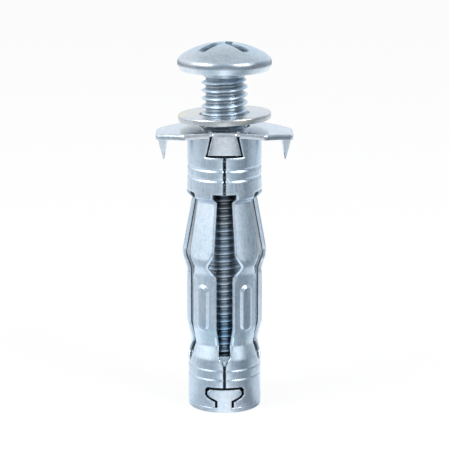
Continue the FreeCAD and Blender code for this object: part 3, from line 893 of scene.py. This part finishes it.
@dataclass
class Sleeve:
    """Rolled sheet: two tubes joined by five folding legs with ribs, notches and slots between them."""

    sheet: float = 0.6
    waist: float = 4.35
    skirt: float = 4.87
    low: float = 0.7
    top: float = 36.25
    rib: float = 0.925
    rib_rise: float = 0.28
    rib_slope: float = 0.34
    rib_low: float = 10.8
    rib_high: float = 17.0
    leg_low: float = 8.5
    leg_high: float = 28.9
    fold: float = 20.0
    slot_low: float = 0.75
    slot_high: float = 1.55
    notch: float = 0.95
    notch_height: float = 19.45
    notch_reach: float = 1.5
    groove_depth: float = 0.11
    groove_width: float = 0.17
    seam: float = 0.29
    seam_joint: float = 6.4
    edge: float = 0.13
    slot_edge: float = 0.27
    bow: float = 10.0
    # Painted shade: on the inner faces, on the legs' cut walls, and deeper on the tubes' cut walls.
    inner_painted_shade: float = 0.50
    wall: float = 0.95
    cut_painted_shade: float = 0.25
    # Painted highlight in a band along the tubes' cut edges: its strength, its distance from the edge and
    # its width.
    painted_edge_highlight: float = 0.22
    painted_highlight_place: float = 0.18
    painted_highlight_width: float = 0.09
    # Painted shade on the ribs.
    rib_painted_shade: float = 0.16
    legs: int = 5

    ear_cut: Table = ((0.7, 1.24), (1.43, 1.24), (1.93, 2.22), (2.25, 2.54), (3.05, 2.54), (3.37, 2.22))
    tab_cut: Table = ((33.68, 2.40), (36.25, 1.85))
    slot_foot: Table = ((6.05, 0.0), (7.4, 0.75), (8.5, 0.75))
    grooves: tuple[float, ...] = (4.55, 5.8, 30.75, 32.05)
    roundness: Table = ((0, 1), (8.9, 1), (11.2, 0), (27.75, 0), (28.3, 1), (40, 1))
    faces: Table = ((0, 4.7), (18.3, 4.7), (19.6, 5.4), (20.35, 5.4), (27.75, 4.05), (40, 4.05))
    half_widths: Table = (
        (0, 1.90), (18.3, 1.92), (19.6, 1.98), (20.35, 1.98), (27.75, 1.58), (40, 1.58))
    radii: Table = (
        (0, 4.75), (6.95, 4.75), (9.05, 4.26), (11.3, 4.26),
        (27.6, 4.87), (28.3, 4.87), (30.3, 4.75), (40, 4.75))
    leg_part: Table = ((0, 0), (8.2, 0), (9.0, 1), (28.4, 1), (28.9, 0), (40, 0))
    # Painted light and shade by height: darker on the lower tube, lighter over the bend from the lower tube
    # into the legs.
    painted_tones: Table = (
        (0, 0.86), (4.6, 0.84), (6.9, 0.78), (7.3, 1.02), (9.4, 1.12), (10.9, 1.12), (11.6, 1.0), (40, 1.0))

    def heights(self) -> np.ndarray:
        """Rows of the sheet: close at bends, grooves and cuts, and wide apart on flat stretches.

        Returns:
            Heights in rising order, with a pair 0.001 apart where a cut ends at a level edge.
        """
        spans = (
            (0.7, 3.5, 0.13), (3.5, 4.15, 0.2), (4.15, 6.2, 0.075), (6.2, 9.0, 0.11), (9.0, 10.6, 0.25),
            (10.6, 12.0, 0.1), (12.0, 15.9, 0.45), (15.9, 17.2, 0.1), (17.2, 18.0, 0.2), (18.0, 20.9, 0.09),
            (20.9, 27.3, 0.35), (27.3, 29.1, 0.065), (29.1, 30.35, 0.16), (30.35, 32.6, 0.075),
            (32.6, 33.6, 0.2), (33.6, 36.25, 0.14),
        )
        rows = [np.arange(start, end, step) for start, end, step in spans]
        ear_top, tab_foot = self.ear_cut[-1][0], self.tab_cut[0][0]
        joined = (1.43, 1.93, 2.25, 3.05, 6.05, 7.4, 8.5, 11.2, 18.3, 19.45, 19.6, 20.35, 27.75, 28.3,
                  self.top, ear_top, tab_foot, self.leg_high)
        rise = np.array([0.001, 0.035, 0.1])
        ends = [self.low + rise[1:], self.top - rise[1:]]
        ends += [ear_top + rise, tab_foot - rise, self.leg_high + rise]
        extra = np.concatenate([np.array(joined), *ends])
        rows = np.unique(np.round(np.concatenate([*rows, extra]), 4))
        close = np.concatenate([[True], np.diff(rows) > 0.024])
        fixed = np.isin(rows, np.round(extra, 4))
        return rows[close | fixed]

    def cut_width(self, side: Edge, rows: np.ndarray) -> np.ndarray:
        """Half width of what is cut away beside the centre line of an edge.

        Args:
            side: Which edge.
            rows: Heights.

        Returns:
            Half widths along the sheet, 0 where the sheet is joined.
        """
        cut = np.zeros_like(rows)
        if side in (Edge.SLOT, Edge.SEAM):
            foot = np.array(self.slot_foot)
            within = (rows > foot[0, 0]) & (rows <= foot[-1, 0])
            cut = np.where(within, np.interp(rows, foot[:, 0], foot[:, 1]), cut)
        if side is Edge.SEAM:
            on_tube = (rows < self.seam_joint) | (rows > self.leg_high)
            cut = np.where(on_tube, np.maximum(cut, self.seam / 2), cut)
        if side in (Edge.SEAM, Edge.JOINTS):
            for table in (self.ear_cut, self.tab_cut):
                places = np.array(table)
                within = (rows >= places[0, 0]) & (rows <= places[-1, 0])
                cut = np.where(within, np.interp(rows, places[:, 0], places[:, 1]), cut)
        return cut

    def half_leg(self, middle: Edge, side: Edge) -> tuple[np.ndarray, ...]:
        """Half a leg with the stretches of both tubes that it joins.

        At every height the sheet is a blend of a flat face, (x, distance), and a round one,
        (R sin a, R cos a).  The blend, the distance, the radius and the half width follow the height, and
        the sheet lies between that face and the same one moved inwards by its thickness.

        Args:
            middle: What lies along the middle of the leg.
            side: What lies along its side.

        Returns:
            Outer and inner grids, for both long sides which row intervals are cut open, and the painted
            light and shade of the outer and the inner grid.
        """
        rows = self.heights()
        round_share = along(self.roundness, rows, 0.07)
        face = along(self.faces, rows, 0.16)
        radius = along(self.radii, rows, 0.12)
        for height in self.grooves:
            radius = radius - self.groove_depth * np.exp(-((rows - height) / self.groove_width) ** 2)
        half_step = math.pi / self.legs
        side_cut = self.cut_width(side, rows)
        side_angle = half_step - np.arcsin(side_cut / radius)
        leg_angle = half_step - np.where(rows > self.fold, math.asin(self.slot_high / self.skirt),
                                         math.asin(self.slot_low / self.waist))
        on_leg = (rows > self.leg_low) & (rows <= self.leg_high)
        side_angle = np.where(on_leg, leg_angle, side_angle)
        notch = self.notch * np.clip(
            1.0 - np.sqrt((rows - self.notch_height) ** 2 + 0.01) / self.notch_reach, 0.0, 1.0)
        flat_half = along(self.half_widths, rows) - notch
        middle_cut = self.cut_width(middle, rows)
        middle_angle = np.arcsin(middle_cut / radius)
        open_side = on_leg | (side_cut > 0.0)
        open_middle = middle_cut > 0.0

        width = (1.0 - round_share) * flat_half + round_share * radius * (side_angle - middle_angle)
        near = np.array([0.0, 0.035, 0.11, 0.27])
        middles = np.array([0.22, 0.31, 0.37, 0.42, 0.47, 0.53, 0.64, 0.77])
        share = np.empty((len(rows), 16))
        share[:, :4] = near / width[:, None]
        share[:, -4:] = 1.0 - near[::-1] / width[:, None]
        share[:, 4:-4] = middles
        share = np.maximum.accumulate(share, axis=1)

        x_flat = share * flat_half[:, None]
        angle = middle_angle[:, None] + share * (side_angle - middle_angle)[:, None]
        lateral = (1.0 - round_share)[:, None] * x_flat + round_share[:, None] * radius[:, None] * angle
        left, right = lateral[:, 0], lateral[:, -1]
        distance = self.edge_distance(rows, lateral, left, right, open_middle, open_side)
        rolled = rolled_edge(self.edge, distance)
        chamfer = math.tan(math.pi / self.legs) * np.maximum(self.slot_edge - distance, 0.0)
        legs_share = along(self.leg_part, rows)[:, None]
        rolled = rolled + (chamfer - rolled) * legs_share
        up = rows[:, None]
        bead = np.hypot(lateral, up - np.clip(up, self.rib_low + self.rib, self.rib_high - self.rib))
        slope = np.clip((self.rib - bead) / self.rib_slope, 0.0, 1.0)
        raised = self.rib_rise * (0.5 * slope + 0.5 * smooth_step(self.rib, self.rib - self.rib_slope, bead))

        def sheet_face(depth: np.ndarray) -> np.ndarray:
            """One face of the sheet.

            Args:
                depth: How far each point lies below the plain outer face.

            Returns:
                Its grid of points.
            """
            flat_y = face[:, None] - depth - x_flat ** 2 / (2.0 * self.bow)
            round_r = radius[:, None] - depth
            blend = round_share[:, None]
            flat_x = x_flat * (1.0 - np.maximum(depth, 0.0) / face[:, None])
            x = (1.0 - blend) * flat_x + blend * round_r * np.sin(angle)
            y = (1.0 - blend) * flat_y + blend * round_r * np.cos(angle)
            return np.stack([x, y, np.broadcast_to(up, x.shape)], axis=-1)

        outer = sheet_face(rolled - raised)
        inner = sheet_face(self.sheet - rolled * 0.6 - raised)
        tubes = 1.0 - legs_share
        # Painted highlight beside the tubes' cut edges.
        beside = (distance - self.painted_highlight_place) / self.painted_highlight_width
        shade = 1.0 + self.painted_edge_highlight * tubes * np.exp(-beside ** 2)
        # Painted light and shade by height.
        shade = shade * along(self.painted_tones, rows)[:, None]
        # Painted shade on the ribs.
        shade = shade * (1.0 - self.rib_painted_shade * smooth_step(self.rib - 0.1, self.rib - self.rib_slope, bead))
        # Painted shade on the inner face.
        inner_shading = np.full(shade.shape, self.inner_painted_shade)
        # Painted shade on the cut walls, deeper in the tubes, and along the tubes' cut edges on the outer
        # face.
        for column, cut in ((0, open_middle), (-1, open_side)):
            inner_shading[:, column] = self.wall + (self.cut_painted_shade - self.wall) * tubes[:, 0]
            shade[:, column] *= np.where(cut, 1.0 - 0.5 * tubes[:, 0], 1.0)
        return outer, inner, open_middle, open_side, shade, inner_shading

    @staticmethod
    def edge_distance(rows: np.ndarray, lateral: np.ndarray, left: np.ndarray, right: np.ndarray,
                      open_left: np.ndarray, open_right: np.ndarray) -> np.ndarray:
        """Distance along the sheet from every point to the nearest cut edge.

        Args:
            rows: Heights.
            lateral: Place of each point across the sheet.
            left: Place of the left side at each height.
            right: Place of the right side at each height.
            open_left: Which heights have a cut on the left.
            open_right: Which heights have a cut on the right.

        Returns:
            The distances, shaped as lateral.
        """
        starts, ends = [], []
        for line, cut in ((left, open_left), (right, open_right)):
            points = np.stack([line, rows], axis=1)
            real = cut[:-1] | cut[1:]
            starts.append(points[:-1][real])
            ends.append(points[1:][real])
        for row in (0, -1):
            starts.append(np.array([[left[row], rows[row]]]))
            ends.append(np.array([[right[row], rows[row]]]))
        start, end = np.vstack(starts), np.vstack(ends)
        run = end - start
        length = np.maximum((run ** 2).sum(axis=1), 1e-12)
        height = np.broadcast_to(rows[:, None], lateral.shape)
        points = np.stack([lateral, height], axis=-1).reshape(-1, 1, 2)
        offset = points - start
        share = np.clip((offset * run).sum(axis=-1) / length, 0.0, 1.0)
        gaps = np.linalg.norm(offset - share[..., None] * run, axis=-1)
        return gaps.min(axis=1).reshape(lateral.shape)

    def build(self) -> bpy.types.Object:
        """Set ten half legs round the axis, weld them and dress the sleeve.

        Returns:
            The sleeve.
        """
        surfaces = Surfaces()
        pairs = ((Edge.MIDDLE, Edge.SLOT), (Edge.MIDDLE, Edge.SEAM), (Edge.JOINTS, Edge.SLOT))
        kinds = {pair: self.half_leg(*pair) for pair in pairs}
        for leg in range(self.legs):
            angle = -math.pi / 2 + math.pi / self.legs + leg * TURN / self.legs
            for side in (1.0, -1.0):
                rear = leg == self.legs // 2
                front = (leg == 0 and side > 0) or (leg == self.legs - 1 and side < 0)
                kind = (Edge.JOINTS if rear else Edge.MIDDLE, Edge.SEAM if front else Edge.SLOT)
                outer, inner, open_middle, open_side, shade, inner_shading = kinds[kind]
                sheet = np.stack([self.placed(grid, angle, side) for grid in (outer, inner)])
                # Painted light and shade of the outer and inner faces.
                painted_tones = np.stack([shade, inner_shading])
                for face in (0, 1):
                    surfaces.add(sheet[face], shade=painted_tones[face])
                for row in (0, -1):
                    surfaces.add(sheet[:, row], shade=painted_tones[:, row])
                for column, cut in ((0, open_middle), (-1, open_side)):
                    surfaces.add(sheet[:, :, column], keep=(cut[:-1] | cut[1:])[None],
                                 shade=painted_tones[:, :, column])
        piece = surfaces.make("sleeve_rolled", sharp=40.0)
        dress(piece, SLEEVE_ZINC, "sleeve", "anchor")
        return piece

    @staticmethod
    def placed(grid: np.ndarray, angle: float, side: float) -> np.ndarray:
        """Half a leg, mirrored for its side and turned so that its middle faces an angle."""
        x, y = grid[..., 0] * side, grid[..., 1]
        return np.stack([
            y * math.cos(angle) + x * math.sin(angle),
            y * math.sin(angle) - x * math.cos(angle),
            grid[..., 2],
        ], axis=-1)


# The nut

@dataclass
class Nut:
    """Flange and threaded boss under the sleeve, with two T ears bent up out of the flange."""

    bore: float = 3.0
    tube: float = 4.75
    sheet: float = 0.6
    flange: float = 0.7
    boss: float = 4.1
    boss_top: float = 7.4
    # Height up to which the boss carries painted shade, and how deep that shade is.
    painted_shade_top: float = 6.1
    boss_painted_shade: float = 0.96
    middle: float = 3.6
    bow: float = 0.5
    ear_outline: Table = ((0.0, 0.95), (1.64, 0.95), (2.12, 1.89), (2.44, 2.21), (2.82, 2.21), (3.12, 1.91))
    edge: float = 0.1
    bend: float = 0.4
    steps: int = 192

    def ring(self, surfaces: Surfaces) -> None:
        """Flange and boss, turned as one section, with painted shade on the boss where the sleeve covers it.

        Args:
            surfaces: Where they go.
        """
        section = rounded([
            (self.middle, 0.0, 0.0), (self.tube - 0.02, 0.0, 0.2),
            (self.tube - 0.02, self.flange - 0.01, 0.08), (self.boss, self.flange, 0.1),
            (self.boss, self.painted_shade_top, 0.0), (self.boss, self.painted_shade_top + 0.3, 0.0),
            (self.boss, self.boss_top - 0.6, 0.1), (self.boss - 0.3, self.boss_top, 0.1),
            (self.bore, self.boss_top, 0.1),
            (self.bore, 0.35, 0.0), (self.bore + 0.3, 0.0, 0.05), (self.middle, 0.0, 0.0),
        ])[:-1]
        # Painted shade on the boss and bore below that height.
        hidden = (smooth_step(self.painted_shade_top + 0.25, self.painted_shade_top + 0.05, section[:, 1])
                  * smooth_step(self.boss + 0.3, self.boss + 0.1, section[:, 0]))
        surfaces.add(turned(section, self.steps), wrap_rows=True, wrap_columns=True,
                     shade=(1.0 - self.boss_painted_shade * hidden)[:, None])

    def ear(self, surfaces: Surfaces, side: float) -> None:
        """T ear: a stretch of wall between the half widths of its outline, bent at the flange.

        Args:
            surfaces: Where the ear goes.
            side: 1 for the front ear and -1 for the rear one.
        """
        outline = np.array(self.ear_outline)
        top = outline[-1, 0]
        rows = np.unique(np.concatenate([
            np.linspace(0.0, 0.42, 8), np.linspace(0.42, top, 40), outline[:, 0], [top - 0.035, top - 0.1]]))
        half = np.interp(rows, outline[:, 0], outline[:, 1])
        ends = np.array([0.0, 0.035, 0.1])
        share = np.concatenate([
            -1.0 + ends / half[:, None], np.linspace(-0.8, 0.8, 9) + 0.0 * half[:, None],
            1.0 - ends[::-1] / half[:, None]], axis=1)
        x = share * half[:, None]
        from_side = np.minimum(np.abs(half[:, None] - np.abs(x)), rows[-1] - rows[:, None] + 0.0 * x)
        rolled = rolled_edge(self.edge, from_side)
        bend = rolled_edge(self.bend, rows)

        def wall(depth: np.ndarray) -> np.ndarray:
            """One face of the ear.

            Args:
                depth: How far each point lies below the tube's face.

            Returns:
                Its grid of points.
            """
            radius = self.tube - depth
            y = -radius + self.bow * (radius - np.sqrt(radius ** 2 - x ** 2))
            return np.stack([x * side, y * side, np.broadcast_to(rows[:, None], x.shape)], axis=-1)

        surfaces.add_sheet(wall(rolled + bend[:, None]), wall(self.sheet - 0.5 * rolled))

    def build(self) -> bpy.types.Object:
        """Make the nut and dress it.

        Returns:
            The nut.
        """
        surfaces = Surfaces()
        self.ring(surfaces)
        for side in (1.0, -1.0):
            self.ear(surfaces, side)
        piece = surfaces.make("nut_pressed")
        dress(piece, NUT_ZINC, "nut", "anchor")
        return piece


# The studio

@dataclass(frozen=True)
class Surround:
    """Brightness that the metal mirrors, by the way round the anchor.

    The way round is an angle in degrees, 0 towards the camera and rising to the right.  On the floor the
    brightness also follows the distance in metres from the axis, with a gain near by and another far off.
    """

    levels: Table
    near: float = 0.012
    near_gain: float = 1.0
    middle: tuple[float, float] = (0.085, 0.22)
    far: float = 0.32
    far_gain: float = 1.0
    pale: Colour = (0.96, 0.99, 1.02)
    dim: Colour = (0.80, 0.97, 1.13)

    def colour(self, wiring: Wiring, vector: Socket) -> Socket:
        """Add the nodes that turn a direction or a place on the floor into a brightness.

        The angle is the arc tangent of x over -y, and the levels are read off a ramp over the full turn.

        Args:
            wiring: Where the nodes go.
            vector: Direction or place, of which only the level part counts.

        Returns:
            The colour.
        """
        split = wiring.add("SeparateXYZ", {"Vector": vector}).outputs
        angle = wiring.maths("ARCTAN2", split["X"], wiring.maths("MULTIPLY", split["Y"], -1.0))
        tints = [
            (degrees / 360.0 + 0.5,
             [level * dim + level * level * (pale - dim) for dim, pale in zip(self.dim, self.pale)])
            for degrees, level in self.levels
        ]
        around = wiring.ramp(wiring.remap(angle, -math.pi, math.pi), tints)
        if self.near_gain == self.far_gain:
            return around
        reach = wiring.add("VectorMath", {0: vector}, operation="LENGTH").outputs["Value"]
        places = (self.near, *self.middle, self.far)
        gains = (self.near_gain, 1.0, 1.0, self.far_gain)
        halved = wiring.ramp(reach, [(place, [gain / 2.0] * 3) for place, gain in zip(places, gains)])
        doubled = wiring.scaled(around, 2.0)
        return wiring.add("VectorMath", {0: doubled, 1: halved}, operation="MULTIPLY").outputs["Vector"]


FLOOR_SURROUND = Surround(
    ((-180, 1.0), (-147, 0.96), (-130, 0.84), (-108, 0.84), (-90, 0.78), (-74, 0.58), (-60, 0.50),
     (-40, 0.48), (-22, 0.54), (-10, 0.88), (0, 0.93), (10, 0.88), (21, 0.52), (35, 0.42), (50, 0.29),
     (61, 0.25), (72, 0.26), (82, 0.48), (95, 0.66), (110, 0.68), (122, 0.74), (134, 0.96), (180, 1.0)),
    near_gain=1.3, far_gain=0.44)
ROOM_SURROUND = Surround(
    ((-180, 0.78), (-150, 0.78), (-125, 0.84), (-90, 1.0), (-65, 1.0), (-42, 0.92), (-24, 0.44), (0, 0.36),
     (22, 0.44), (38, 0.92), (54, 0.96), (66, 0.42), (78, 0.25), (98, 0.30), (125, 0.58), (150, 0.78),
     (180, 0.78)))


@dataclass
class Studio:
    """Pale floor, white background, soft lamps and the camera at the photograph's angle."""

    elevation: float = 13.1
    distance: float = 0.235
    aim: tuple[float, float, float] = (0.0, 0.0, 0.0236)
    frame_height: float = 0.0590
    floor_size: float = 3.0
    floor_colour: tuple[float, ...] = (0.86, 0.86, 0.87, 1.0)
    floor_glow: float = 0.86
    ambient_colour: tuple[float, ...] = (0.97, 0.98, 1.0, 1.0)
    ambient: float = 0.82
    ceiling_colour: tuple[float, ...] = (0.53, 0.545, 0.56, 1.0)
    ceiling_rise: tuple[float, float] = (0.45, 0.92)
    mirrored_room: float = 1.2
    lamp_elevation: float = 38.0
    lamp_distance: float = 0.45
    lamp_power: float = 0.80

    def floor(self) -> None:
        """Large plane that is pale, keeps the anchor's shadow, and is mirrored as the surround says."""
        mesh = bpy.data.meshes.new("floor")
        size = self.floor_size
        corners = [(-size, -size, 0.0), (size, -size, 0.0), (size, size, 0.0), (-size, size, 0.0)]
        mesh.from_pydata(corners, [], [(0, 1, 2, 3)])
        floor = bpy.data.objects.new("floor", mesh)
        bpy.context.scene.collection.objects.link(floor)
        material = bpy.data.materials.new("pale_floor")
        wiring = Wiring.of(material)
        matt = wiring.add("BsdfDiffuse", {"Color": self.floor_colour}).outputs["BSDF"]
        glow = wiring.add("Emission", {"Color": WHITE}).outputs["Emission"]
        place = wiring.add("TexCoord").outputs["Object"]
        around = FLOOR_SURROUND.colour(wiring, place)
        mirrored = wiring.add("Emission", {"Color": around}).outputs["Emission"]
        path = wiring.add("LightPath").outputs
        pale = wiring.mix(wiring.maths("MULTIPLY", self.seen(wiring, path), self.floor_glow), matt, glow)
        shown = wiring.mix(path["Is Glossy Ray"], pale, mirrored)
        wiring.add("OutputMaterial", {"Surface": shown})
        mesh.materials.append(material)

    @staticmethod
    def seen(wiring: Wiring, path: bpy.types.bpy_prop_collection) -> Socket:
        """Whether a ray comes from the camera or through glass, as 0 or 1."""
        return wiring.maths("MAXIMUM", path["Is Camera Ray"], path["Is Transmission Ray"])

    def world(self) -> None:
        """White background for the camera and for glass, and the surround for gloss."""
        world = bpy.data.worlds.new("studio")
        bpy.context.scene.world = world
        wiring = Wiring.of(world)
        path = wiring.add("LightPath").outputs
        ambient = wiring.add("Background", {"Color": self.ambient_colour, "Strength": self.ambient})
        white = wiring.add("Background", {"Color": WHITE})
        direction = wiring.add("TexCoord").outputs["Generated"]
        split = wiring.add("SeparateXYZ", {"Vector": direction}).outputs
        above = wiring.remap(split["Z"], *self.ceiling_rise, interpolation_type="SMOOTHSTEP")
        around = ROOM_SURROUND.colour(wiring, direction)
        mirrored = wiring.add("Mix", {"Factor": above, "A": around, "B": self.ceiling_colour},
                              data_type="RGBA").outputs["Result"]
        gloss = wiring.add("Background", {"Color": mirrored, "Strength": self.mirrored_room})
        lit = wiring.mix(path["Is Glossy Ray"], ambient.outputs["Background"], gloss.outputs["Background"])
        shown = wiring.mix(self.seen(wiring, path), lit, white.outputs["Background"])
        wiring.add("OutputWorld", {"Surface": shown})

    def lamp(self, name: str, azimuth: float, size: tuple[float, float], colour: Colour) -> None:
        """Oblong soft lamp that looks at the anchor.

        Args:
            name: Name of the lamp.
            azimuth: Degrees to the right of the camera's side.
            size: Width and height of the lamp, in metres.
            colour: Of its light.
        """
        light = bpy.data.lights.new(name, "AREA")
        light.shape = "RECTANGLE"
        light.size, light.size_y = size
        light.energy = self.lamp_power
        light.color = colour
        lamp = bpy.data.objects.new(name, light)
        level, rise = math.radians(azimuth), math.radians(self.lamp_elevation)
        offset = np.array([
            math.sin(level) * math.cos(rise), -math.cos(level) * math.cos(rise), math.sin(rise)])
        lamp.location = tuple(np.array(self.aim) + offset * self.lamp_distance)
        lamp.rotation_euler = (math.pi / 2 - rise, 0.0, level)
        bpy.context.scene.collection.objects.link(lamp)

    def camera(self) -> None:
        """Camera in front, raised by the photograph's angle, with the anchor filling the height."""
        data = bpy.data.cameras.new("camera")
        data.sensor_fit = "VERTICAL"
        data.sensor_height = 24.0
        data.lens = data.sensor_height * self.distance / self.frame_height
        data.clip_start = 0.01
        camera = bpy.data.objects.new("camera", data)
        rise = math.radians(self.elevation)
        camera.location = (self.aim[0], self.aim[1] - self.distance * math.cos(rise),
                           self.aim[2] + self.distance * math.sin(rise))
        camera.rotation_euler = (math.pi / 2 - rise, 0.0, 0.0)
        bpy.context.scene.collection.objects.link(camera)
        bpy.context.scene.camera = camera

    def build(self) -> None:
        """Set up the floor, the world, the lamps, the camera and the plain view."""
        self.floor()
        self.world()
        self.lamp("key_left", -60.0, (0.22, 0.13), (1.0, 1.0, 1.0))
        self.lamp("fill_right", 49.0, (0.19, 0.12), (0.98, 0.99, 1.0))
        self.camera()
        bpy.context.scene.view_settings.view_transform = "Standard"
        LOG.info("studio: camera at %.1f degrees", self.elevation)


def main() -> None:
    """Build the anchor's pieces in order and the studio."""
    logging.basicConfig(level=logging.INFO, format="%(name)s: %(message)s")
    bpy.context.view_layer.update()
    for assembly in (Nut(), Sleeve(), CollarPlate(), Washer(), Screw()):
        piece = assembly.build()
        LOG.info("built %s", piece.name)
    Studio().build()


if __name__ == "__main__":
    main()
